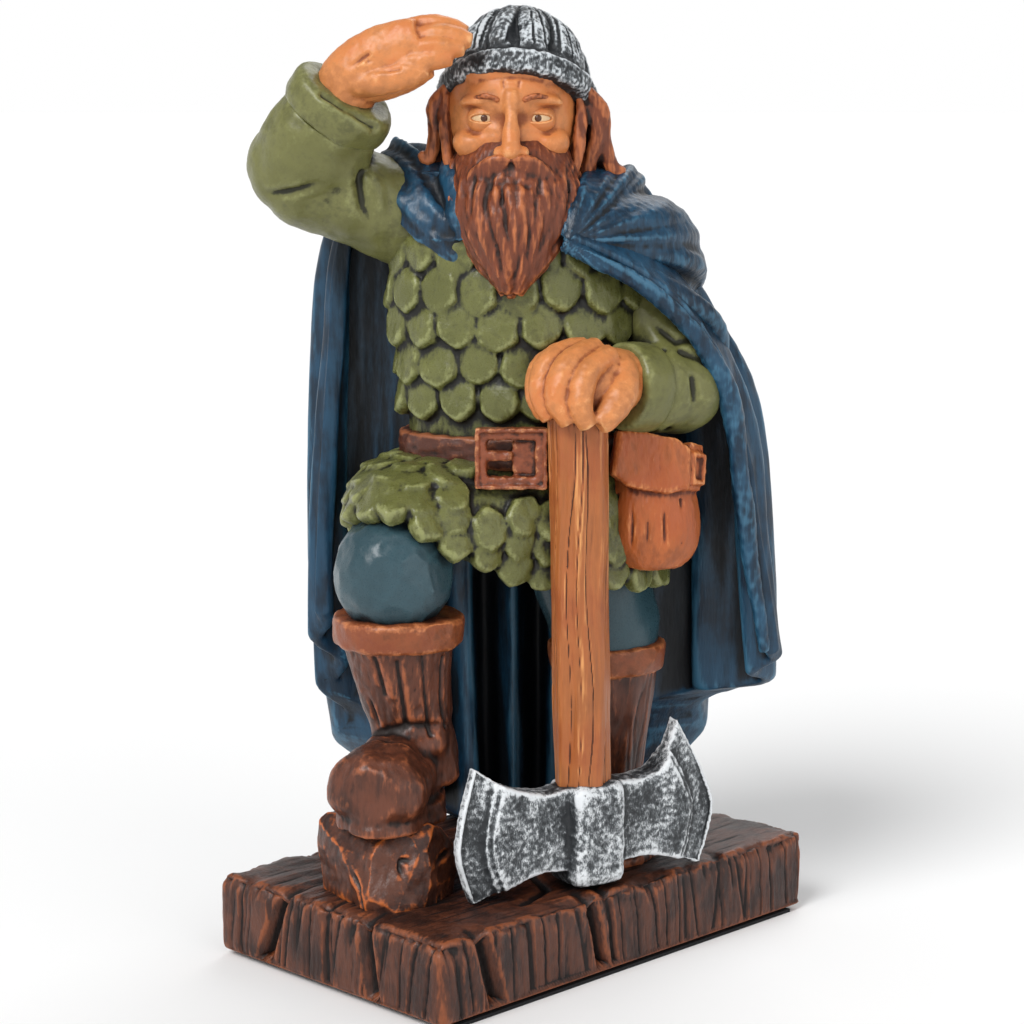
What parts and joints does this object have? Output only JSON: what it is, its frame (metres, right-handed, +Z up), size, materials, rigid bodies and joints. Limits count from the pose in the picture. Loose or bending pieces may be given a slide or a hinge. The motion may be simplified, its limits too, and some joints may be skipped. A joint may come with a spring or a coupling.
{
  "type": "viking warrior statue",
  "caption": "Painted cast statue of a viking on lookout, one hand shading the brow and the other on a double-headed axe, on a rough slab base.",
  "frame": {"origin": "centre of the object's box at the underside of the pad", "axes": "+Z up, -Y the way the figure looks, +X towards the figure's left hand"},
  "size_m": [0.1412, 0.1411, 0.2208],
  "materials": {
    "painted_resin": "hand-painted satin resin in several colours",
    "felt": "matte black felt"
  },
  "bodies": {
    "root": {"statue": "painted_resin", "pad": "felt"}
  },
  "joints": []
}
